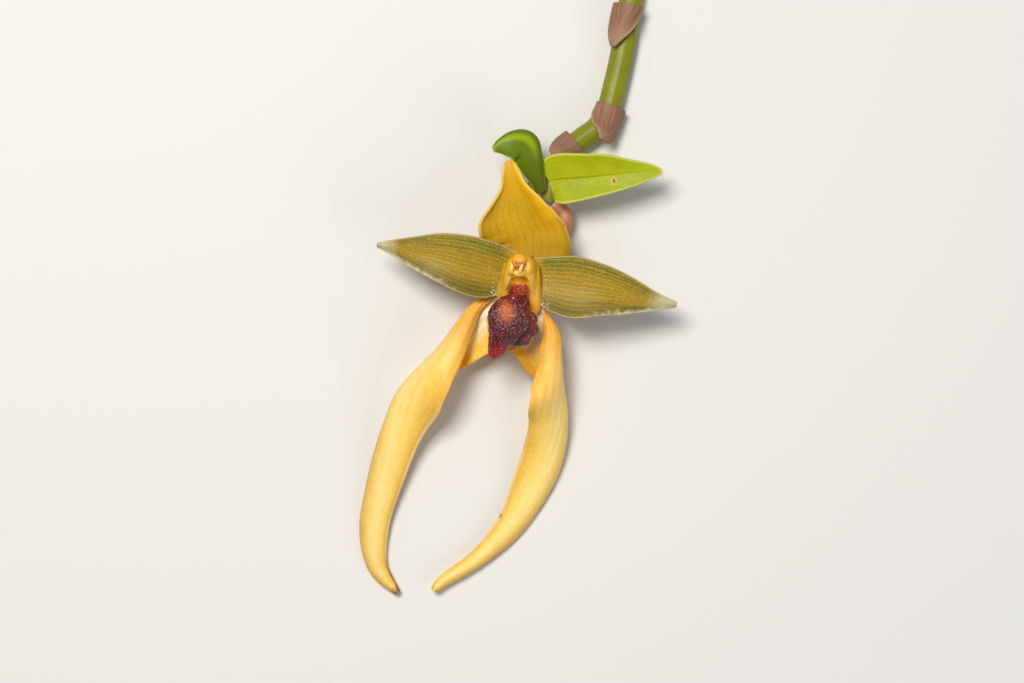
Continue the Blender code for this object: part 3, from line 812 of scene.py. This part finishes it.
def dome(name, profile, finish):
    """A turned body from (height angle, radius) pairs, about the cap's forward-leaning axis."""
    axis = unit(np.array((0, -CAP_LEAN, 1.0)))
    side = np.array((1.0, 0, 0))
    normal = np.cross(axis, side)
    angle = np.linspace(0, 2 * math.pi, CAP_SIDES, endpoint=False)
    rings = []
    for height_angle, radius in profile:
        rise = radius * math.sin(math.radians(height_angle))
        spread = radius * math.cos(math.radians(height_angle))
        dip = CAP_FURROW * np.exp(-((np.cos(angle) * spread / 0.3) ** 2)) * (radius > CAP_RADIUS - 0.01)
        out = side * np.cos(angle)[:, None] + normal * np.sin(angle)[:, None]
        rings.append(np.array(CAP_BASE) + axis * (rise - dip)[:, None] + out * spread)
    last = (len(rings) - 1) * CAP_SIDES
    faces = ring_quads(len(rings), CAP_SIDES)
    faces += [tuple(range(CAP_SIDES)), tuple(range(last, last + CAP_SIDES))]
    return mesh_piece(name, np.concatenate(rings), faces, finish)


inner_radius = CAP_RADIUS - CAP_WALL
cap_profile = [(a, inner_radius) for a in (88, 70, 50, 30, 10, 0)]
cap_profile += [(0, CAP_RADIUS - 0.06)] + [(a, CAP_RADIUS) for a in (4, 12, 22, 32, 42, 52, 62, 72, 80, 87)]
cap = dome("cap_fine", cap_profile, cap_finish())
settle(cap, "anther_cap")

pollen_wax = Finish("pollen_wax", Subsurface_Weight=0.3, Subsurface_Scale=0.0005)
pollen_colour = pollen_wax.mix(pollen_wax.noise(0.2), (232, 196, 60), (250, 226, 120))
pollen_wax.finish_with(pollen_colour, 0.4 + pollen_wax.noise(0.2) * 0.1, pollen_wax.noise(0.15), 0.02)
pollen = round_body("pollen_fine", POLLEN, pollen_wax, (16, 20), squash=0.7)
settle(pollen, "pollinia")


# The lip is a thick maroon tongue on a thin hinge. A flange folds down on its right, an orange
# patch lies in a groove on its top, and its tip is bright red. Fine warts cover it, and short pale
# hairs stand among them.
LIP = [
    # x, y, z, half width and half thickness
    (-0.4, -4.5, 11.6, 0.9, 0.6),
    (-0.4, -3.2, 12.3, 1.1, 0.6),
    (-0.4, -1.9, 13.8, 1.6, 0.7),
    (-0.5, -1.7, 15.6, 2.3, 0.8),
    (-0.9, -2.7, 17.0, 2.9, 1.1),
    (-1.35, -4.5, 17.5, 3.75, 1.4),
    (-1.9, -6.4, 17.4, 3.6, 1.6),
    (-2.5, -8.0, 17.0, 2.8, 1.6),
    (-3.15, -9.5, 16.4, 2.1, 1.4),
    (-3.8, -11.0, 15.5, 1.5, 1.2),
    (-4.1, -12.0, 14.9, 1.05, 0.95),
    (-4.2, -12.5, 14.6, 0.5, 0.5),
]
LIP_FLANGE = [
    (1.2, -4.3, 15.9, 1.2, 1.6, 0, -20, 0),
    (1.5, -5.8, 16.2, 2.2, 1.8, 0, -50, 0),
    (1.3, -7.2, 16.0, 2.4, 1.8, 0, -60, 0),
    (0.3, -8.7, 15.5, 1.9, 1.6, 0, -60, 0),
    (-0.9, -9.8, 14.9, 0.8, 1.2, 0, -40, 0),
]
TONGUE_RINGS = 121
TONGUE_SIDES = 72
PATCH = (-1.9, -3.9)
LIP_VOXEL = 0.1
LIP_SMOOTHING = 6
WART = 0.42
WART_HEIGHT = 0.2
HAIR_SPACING = 0.25
HAIR_SIZE = 0.07
HAIR_STRETCH = 1.4
HAIR_SEED = 4
HAIRY_BOX = ((-6, -12.6, 14.2), (2.7, -1.8, 20))


def tongue():
    """The lip's main body, a row of ovals with a groove down the top of its broad part."""
    along = np.linspace(0, 1, TONGUE_RINGS)
    angle = np.linspace(0, 2 * math.pi, TONGUE_SIDES, endpoint=False)
    table = read_curve(LIP, along)
    heading = headings(LIP, along)
    across = np.array((-1.0, 0, 0))
    side = unit(across - heading * (heading @ across)[:, None])
    normal = np.cross(side, heading)
    near_middle = np.exp(-((np.cos(angle)[None, :] / 0.3) ** 2)) * (np.abs(np.sin(angle)) > 0.2)
    broad_part = np.exp(-(((along[:, None] - 0.36) / 0.12) ** 2))
    thickness = (1 - 0.35 * near_middle * broad_part) * table[:, 4:5]
    out = side[:, None] * (np.cos(angle)[None, :] * table[:, 3:4])[..., None]
    out = out + normal[:, None] * (np.sin(angle)[None, :] * thickness)[..., None]
    points = (table[:, None, :3] + out).reshape(-1, 3)
    last = (TONGUE_RINGS - 1) * TONGUE_SIDES
    faces = ring_quads(TONGUE_RINGS, TONGUE_SIDES)
    faces += [tuple(range(TONGUE_SIDES)), tuple(range(last, last + TONGUE_SIDES))]
    return mesh_piece("tongue", points, faces, lip_skin)


def lip_finish():
    skin = Finish("maroon_lip", Subsurface_Weight=0.06, Subsurface_Scale=0.0006, IOR=1.45)
    x, y = skin.millimetres()[:2]
    flange = skin.ease(x + y * 0.62, -2.0, -1.2) * skin.ease(y, -3.6, -4.6)
    brown = skin.mix(skin.ease(skin.noise(0.9, 3.0), 0.38, 0.64), (62, 14, 12), (156, 70, 40))
    end = skin.ease(y, -8.8, -9.5) * skin.ease(x, -2.4, -1.8)
    tip = skin.ease(y - x * 0.3, -8.4, -10.4) * (1 - end)
    ragged = (skin.noise(0.45, 3.0) - 0.5) * 1.9
    from_patch = skin.distance(x - PATCH[0], (y - PATCH[1]) * 0.7) + ragged
    warts = skin.ease(skin.cells(WART), 0.55, 0.1)
    colour = skin.layers(
        skin.mix(skin.noise(0.6, 3.0), (46, 5, 11), (104, 20, 26)),
        (flange * 0.85, brown),
        (end * 0.9, (62, 54, 64)),
        (tip * 0.85, (168, 20, 32)),
        (skin.ease(from_patch, 2.1, 0.2) * 0.9, (218, 112, 54)),
        (warts * 0.22, (184, 84, 84)),
    )
    height = warts + skin.noise(0.12) * 0.5
    skin.finish_with(colour, 0.20 + skin.noise(0.3) * 0.25, height, 0.08)
    return skin


def flange_relief(along, across):
    return 0.3 * np.sin(along * 21 + 2 * across) * np.abs(across) ** 2


lip_skin = lip_finish()
flange_body = sheet("flange", LIP_FLANGE, lip_skin, (40, 16), edge=0.7, relief=flange_relief)
lip = melted("lip_fine", [tongue(), flange_body], [], LIP_VOXEL, LIP_SMOOTHING, lip_skin)
lip_points = np.empty((len(lip.data.vertices), 3))
lip_normals = np.empty_like(lip_points)
lip.data.vertices.foreach_get("co", lip_points.ravel())
lip.data.vertices.foreach_get("normal", lip_normals.ravel())
nearest = np.array([noise.voronoi(Vector(spot))[0][0] for spot in lip_points / (WART * MM)])
lip_points += lip_normals * (WART_HEIGHT * MM * np.clip(0.75 - nearest, 0, 1))[:, None]
lip.data.vertices.foreach_set("co", lip_points.ravel())
lip.data.update()
settle(lip, "lip")


def grown_on(base, name, finish, spacing, size, stretch, seed, low_corner, high_corner):
    """Tiny grains or hairs that stand on a surface inside a box, as one plain mesh. Each is a size
    thick in millimetres, and so many times as long as that."""
    tree = bpy.data.node_groups.new(name, "GeometryNodeTree")
    growth = Tree(tree)
    tree.interface.new_socket("Geometry", in_out="OUTPUT", socket_type="NodeSocketGeometry")
    tree.interface.new_socket("Surface", in_out="INPUT", socket_type="NodeSocketGeometry")
    named = {"Spacing": spacing * MM, "Size": size * MM, "Stretch": stretch}
    identifiers = {}
    for key, value in named.items():
        socket = tree.interface.new_socket(key, in_out="INPUT", socket_type="NodeSocketFloat")
        socket.default_value = value
        identifiers[key] = socket.identifier
    entry = tree.nodes.new("NodeGroupInput")
    surface, gap, girth, longer = (Value(growth, entry.outputs[k]) for k in range(4))
    position = growth.node("GeometryNodeInputPosition", {}, {})
    tests = []
    for corner, operation in ((low_corner, "GREATER_THAN"), (high_corner, "LESS_THAN")):
        settings = {"data_type": "VECTOR", "mode": "ELEMENT", "operation": operation}
        place = tuple(c * MM for c in corner)
        tests.append(growth.node("FunctionNodeCompare", settings, {4: position, 5: place}))
    inside = growth.node("FunctionNodeBooleanMath", {}, dict(enumerate(tests)))
    scatter = tree.nodes.new("GeometryNodeDistributePointsOnFaces")
    scatter.distribute_method = "POISSON"
    growth.feed(scatter.inputs["Mesh"], surface)
    growth.feed(scatter.inputs["Selection"], inside)
    growth.feed(scatter.inputs["Distance Min"], gap)
    scatter.inputs["Density Max"].default_value = 2 / (spacing * MM) ** 2
    scatter.inputs["Seed"].default_value = seed
    grain = growth.node("GeometryNodeMeshIcoSphere", {}, {"Radius": 1.0, "Subdivisions": 1})
    sizes = {2: 0.6, 3: 1.3, "Seed": seed}
    thick = growth.node("FunctionNodeRandomValue", {}, sizes, 1) * girth
    inputs = {
        "Points": Value(growth, scatter.outputs["Points"]),
        "Instance": grain,
        "Rotation": Value(growth, scatter.outputs["Rotation"]),
        "Scale": growth.node("ShaderNodeCombineXYZ", {}, {0: thick, 1: thick, 2: thick * longer}),
    }
    spread = growth.node("GeometryNodeInstanceOnPoints", {}, inputs)
    real = growth.node("GeometryNodeRealizeInstances", {}, {"Geometry": spread})
    dressed = growth.node("GeometryNodeSetMaterial", {}, {"Geometry": real, "Material": finish.material})
    leave = tree.nodes.new("NodeGroupOutput")
    growth.feed(leave.inputs[0], dressed)
    grown = placed(name, base.data.copy())
    modifier = grown.modifiers.new(name, "NODES")
    modifier.node_group = tree
    for key, value in named.items():
        modifier[identifiers[key]] = value
    settled_mesh(grown)
    grown.data.shade_smooth()
    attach(grown, "root")
    return grown


hair_white = Finish("lip_hair", Subsurface_Weight=0.2, Subsurface_Scale=0.0003, Coat_Weight=0.8,
                    Coat_Roughness=0.1)
hair_tint = hair_white.ease(hair_white.noise(0.7, 2.0), 0.48, 0.66)
hair_colour = hair_white.mix(hair_tint, (92, 16, 24), (230, 184, 176))
hair_white.finish_with(hair_colour, 0.2 + hair_white.noise(0.3) * 0.1, hair_white.noise(0.1), 0.01)
lip_hairs = grown_on(lip, "lip_hairs", hair_white, HAIR_SPACING, HAIR_SIZE, HAIR_STRETCH, HAIR_SEED,
                     *HAIRY_BOX)


# The callus is a small shiny knob, deep pink, at the back of the lip's groove. It grows from the
# flesh there, and the light makes one bright point on it.
CALLUS = [
    (-0.325, -0.6, 16.53, 0.2),
    (-0.425, -1.0, 16.61, 0.5),
    (-0.575, -1.6, 16.73, 0.75),
    (-0.75, -2.3, 16.63, 0.62),
    (-0.9, -2.9, 16.51, 0.2),
]
callus_pink = Finish("callus_pink", Coat_Weight=0.6, Coat_Roughness=0.08)
callus_colour = callus_pink.mix(callus_pink.noise(0.5), (96, 10, 30), (158, 30, 62))
callus_pink.finish_with(callus_colour, 0.2 + callus_pink.noise(0.3) * 0.1, callus_pink.noise(0.3), 0.02)
callus = round_body("callus", CALLUS, callus_pink, (16, 20))
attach(callus, "root")


# The petals glisten where they meet the column. Beads of nectar stand there, fine ones along the
# column and larger ones on the low corner of each petal's base. The beads are coloured near white, as
# painted glints, under a clear glossy coat.
BEAD_STRETCH = 0.8
BEAD_ZONES = [
    # petal, low and high corners of the patch, gap between beads, size
    ("left_petal_fine", (-4.9, 0.2, 10), (-3.2, 3.4, 16), 0.5, 0.085),
    ("left_petal_fine", (-4.8, -1.6, 10), (-3.0, 0.4, 16), 0.3, 0.12),
    ("right_petal_fine", (4.6, -1.4, 10), (6.2, 2.8, 16), 0.5, 0.085),
    ("right_petal_fine", (4.6, -4.2, 10), (6.0, -1.8, 16), 0.3, 0.12),
]
bead = Finish("nectar_bead", IOR=1.4, Coat_Weight=1.0, Coat_Roughness=0.05)
# Painted glints: the beads are coloured near white.
bead_glint_colour = bead.mix(bead.noise(0.5), (236, 222, 168), (255, 253, 244))
bead.finish_with(bead_glint_colour, 0.06 + bead.noise(0.3) * 0.06, bead.noise(0.2), 0.005)
for number, (petal_name, low_corner, high_corner, gap, size) in enumerate(BEAD_ZONES):
    beads = grown_on(bpy.data.objects[petal_name], "beads_%d" % number, bead, gap, size, BEAD_STRETCH,
                     number, low_corner, high_corner)


# The ovary and its stalk carry the flower from below and behind. They are one salmon-coloured body
# with six shallow grooves.
OVARY_AND_PEDICEL = [
    (1.0, 3.3, 9.6, 1.9),
    (1.2, 4.1, 8.35, 1.9),
    (2.6, 6.0, 6.3, 1.85),
    (5.4, 8.7, 4.6, 1.8),
    (8.0, 11.4, 3.9, 1.75),
    (8.9, 13.6, 3.9, 1.65),
    (8.4, 15.1, 4.0, 1.4),
    (6.9, 16.3, 4.4, 1.2),
]


def stalk_finish(name, dark, light, accent, amount):
    """Skin of two tones with soft patches of an accent, and fibres on its cut ends."""
    skin = Finish(name, Subsurface_Weight=0.15, Subsurface_Scale=0.0015, IOR=1.42)
    blush = skin.ease(skin.noise(1.1, 3.0), 0.5, 0.7)
    fibres = skin.ease(skin.cells(0.5), 0.2, 0.35)
    colour = skin.layers(
        skin.mix(skin.noise(2.5, 3.0), dark, light),
        (blush * amount, accent),
        (skin.ease(skin.drawn("cut"), 0.05, 0.25), skin.mix(fibres, (120, 128, 60), (206, 208, 150))),
    )
    skin.finish_with(colour, 0.34 + skin.noise(0.6) * 0.2, skin.noise(0.3, 3.0), 0.04)
    return skin


salmon = stalk_finish("salmon_ovary", (182, 112, 84), (206, 138, 108), (164, 112, 52), 0.4)
ovary = round_body("ovary_fine", OVARY_AND_PEDICEL, salmon, (110, 48), up=(1, -1, 0),
                   relief=lambda along, angle: -0.08 * np.cos(6 * angle) * np.sin(math.pi * along))
settle(ovary, "ovary_and_pedicel")


# The stem is the end of the flowering stem, olive green, cut square at the top. It swells a little
# at its joints, where the sheaths grow, and ends in a small pale bud.
STEM = [
    (21.8, 57.0, 2.3, 2.3),
    (21.4, 54.0, 2.3, 2.3),
    (20.9, 51.0, 2.3, 2.3),
    (19.8, 44.5, 2.3, 2.3),
    (18.3, 38.0, 2.3, 2.3),
    (17.1, 33.8, 2.4, 2.3),
    (15.1, 30.6, 2.6, 2.3),
    (12.2, 28.5, 2.8, 2.2),
    (9.2, 26.0, 3.2, 2.1),
    (7.3, 22.6, 3.9, 2.0),
    (6.3, 19.4, 4.4, 1.82),
    (5.6, 17.0, 4.7, 1.3),
]
END_BUD = [
    (4.0, 18.9, 5.2, 0.45),
    (3.4, 19.4, 5.4, 0.8),
    (2.7, 19.9, 5.7, 0.75),
    (2.1, 20.3, 6.0, 0.3),
]


def stem_relief(along, angle):
    return 0.03 * np.cos(9 * angle + 4 * np.sin(5 * along)) - 0.05


stem_green = stalk_finish("green_stem", (112, 116, 4), (142, 144, 10), (132, 106, 20), 0.3)
stem = round_body("stem_fine", STEM, stem_green, (200, 54), relief=stem_relief)
settle(stem, "stem")

bud_green = stalk_finish("green_bud", (140, 150, 24), (186, 190, 60), (190, 180, 80), 0.4)
bud = round_body("end_bud_fine", END_BUD, bud_green, (30, 28))
settle(bud, "end_bud")


# Two bracts stand at the end of the stem, smooth and leaf-like. The right one is spread, bright
# yellow-green, with a thin dark midrib groove. The left one is darker and arched, its sides curl
# down, and it hooks over to the left. It has a painted highlight band along its arch and painted
# shade at its foot.
RIGHT_BRACT = [
    (6.1, 20.3, 7.4, 3.5, 3.1, 0, 10, 10),
    (7.0, 20.6, 7.6, 4.5, 4.2, 0, 15, 15),
    (9.0, 20.8, 8.2, 4.8, 4.8, 0, 22, 18),
    (12.6, 21.0, 8.9, 4.6, 4.3, 0, 25, 15),
    (16.8, 21.4, 9.7, 4.1, 3.6, 0, 25, 12),
    (21.4, 21.8, 10.1, 2.4, 2.5, 0, 25, 10),
    (24.9, 22.0, 10.2, 1.3, 1.3, 0, 15, 10),
    (27.0, 22.0, 10.3, 0.3, 0.3, 0, 0, 0),
]
LEFT_BRACT = [
    (4.4, 18.5, 7.2, 0.9, 0.9, 0, -10, -20),
    (4.0, 20.3, 8.5, 1.3, 1.1, 0, -15, -30),
    (3.3, 22.3, 9.9, 2.1, 1.7, 0, -20, -50),
    (2.6, 24.3, 11.1, 2.7, 2.6, 0, -20, -70),
    (1.3, 26.3, 12.2, 2.8, 3.7, 0, -20, -75),
    (-0.7, 27.0, 12.9, 2.7, 2.8, 0, -15, -75),
    (-2.8, 26.7, 12.8, 1.8, 1.4, 0, -10, -60),
    (-4.4, 25.9, 12.4, 0.3, 0.3, 0, 0, -10),
]
BRACT_MARK = (18.0, 20.3)


def bract_finish(name, dark, light, groove, arch):
    """Groove is the strength of the midrib's dark line, arch that of the arched bract's painted
    highlight band and the painted shade at its foot."""
    skin = Finish(name, Subsurface_Weight=0.12, Subsurface_Scale=0.001, IOR=1.42, Specular_IOR_Level=0.3)
    across, along = skin.drawn("across"), skin.drawn("along")
    x, y = skin.millimetres()[:2]
    midrib = skin.ease(skin.far(across), 0.045, 0.0)
    highlight_band = skin.ease(skin.far(across - 0.42), 0.30, 0.05) * skin.ease(along, 0.36, 0.58)
    grain = skin.ease(skin.noise(0.24, 1.5), 0.5, 0.62)
    margin = skin.ease(skin.far(across), 0.955, 1.0)
    ragged = (skin.noise(0.4) - 0.5) * 0.4
    from_mark = skin.distance(x - BRACT_MARK[0], (y - BRACT_MARK[1]) * 0.7) + ragged
    colour = skin.layers(
        skin.mix(skin.noise(2.5, 3.0), dark, light),
        (skin.veins(5.5, 0.24) * 0.34 * groove, dark),
        (midrib * groove, (84, 92, 2)),
        # Painted highlight along the arched bract's bend.
        (highlight_band * arch, (152, 176, 14)),
        # Painted shade at the arched bract's foot.
        (skin.ease(along, 0.50, 0.10) * arch, (88, 94, 6)),
        (grain * 0.14 * (1 - arch), (222, 226, 80)),
        (margin * 0.45, (206, 214, 110)),
        (skin.ease(along, 0.93, 1.0) * 0.5, (232, 212, 110)),
        (skin.ease(from_mark, 0.75, 0.35) * 0.5, (216, 196, 90)),
        (skin.ease(from_mark, 0.36, 0.22) * 0.85, (150, 52, 10)),
    )
    skin.finish_with(colour, 0.36 + skin.noise(0.5) * 0.18, skin.noise(0.16, 2.0), 0.03)
    return skin


def bract_relief(along, across):
    valley = -0.22 * np.exp(-((across / 0.05) ** 2)) * np.clip(1.15 - along, 0, 1)
    waves = 0.10 * np.sin(along * 15) * np.clip(np.abs(across) * 2 - 1, 0, 1)
    return valley + waves


bright_green = bract_finish("bright_bract", (142, 150, 0), (176, 182, 2), 0.8, 0.0)
right_bract = sheet("right_bract_fine", RIGHT_BRACT, bright_green, (100, 24), fold=12, relief=bract_relief)
settle(right_bract, "right_bract")
dark_green = bract_finish("dark_bract", (80, 106, 2), (104, 128, 6), 0.0, 0.75)
left_bract = sheet("left_bract_fine", LEFT_BRACT, dark_green, (110, 24), roll=1.8)
settle(left_bract, "left_bract")


# Three dry sheaths clasp the stem at its joints. They are papery, pinkish brown, streaked along
# their length, and their tips stand off the stem.
SEAT_GAP = 0.3
FACET_SAG = 0.1
DRY_SHEET = 0.6
SHEATHS = [
    # name, where it begins and ends on the stem, lean, wrap on each side, how far its tip stands off
    ("outer_sheath", 0.10, 0.26, 32, 88, 1.0),
    ("middle_sheath", 0.42, 0.59, -30, 88, 1.8),
    ("inner_sheath", 0.66, 0.78, 30, 80, 0.8),
]


def sheath_finish():
    skin = Finish("dry_sheath", Subsurface_Weight=0.1, Subsurface_Scale=0.0006)
    streak = skin.streaks(20, 1.2)
    veil = skin.ease(skin.noise(2.0, 3.0), 0.45, 0.65)
    margin = skin.ease(skin.far(skin.drawn("across")), 0.85, 1.0)
    colour = skin.layers(
        skin.mix(skin.ease(streak, 0.35, 0.65), (116, 74, 54), (158, 112, 88)),
        (veil * 0.5, (128, 104, 52)),
        (skin.ease(skin.drawn("along"), 0.6, 1.0) * 0.5, (186, 150, 122)),
        (margin * 0.4, (206, 178, 148)),
        (skin.specks(0.9, 0.2, 0.2) * 0.5, (84, 50, 34)),
    )
    skin.finish_with(colour, 0.45 + streak * 0.3, streak + skin.noise(0.3) * 0.3, 0.05)
    return skin


def sheath_relief(along, across):
    ribs = 0.025 * np.cos(across * 40) * np.clip(1.3 - along, 0, 1)
    return ribs + 0.15 * np.sin(along * 9 + across * 5) * np.abs(across) ** 3


dry_paper = sheath_finish()
for sheath_name, begin, end, lean, wrap, flare in SHEATHS:
    middle_heading = headings(STEM, np.array([(begin + end) / 2]))[0]
    out = np.array(UP) * math.cos(math.radians(lean))
    out = out + unit(np.cross(middle_heading, UP)) * math.sin(math.radians(lean))
    sheath_rows = []
    for t in (0, 0.25, 0.5, 0.75, 1):
        x, y, z, radius = read_curve(STEM, np.array([begin + (end - begin) * t]))[0]
        away = radius + SEAT_GAP + FACET_SAG + DRY_SHEET / 2 + flare * t**2
        bend = wrap * (1 - 0.94 * t**2)
        width = away * math.radians(bend)
        place = np.array((x, y, z)) + out * away
        sheath_rows.append((*place, width, width, 0, bend, bend))
    sheath = sheet(sheath_name + "_fine", sheath_rows, dry_paper, (50, 26), up=-out, middle=DRY_SHEET,
                   edge=0.25, relief=sheath_relief)
    settle(sheath, sheath_name)
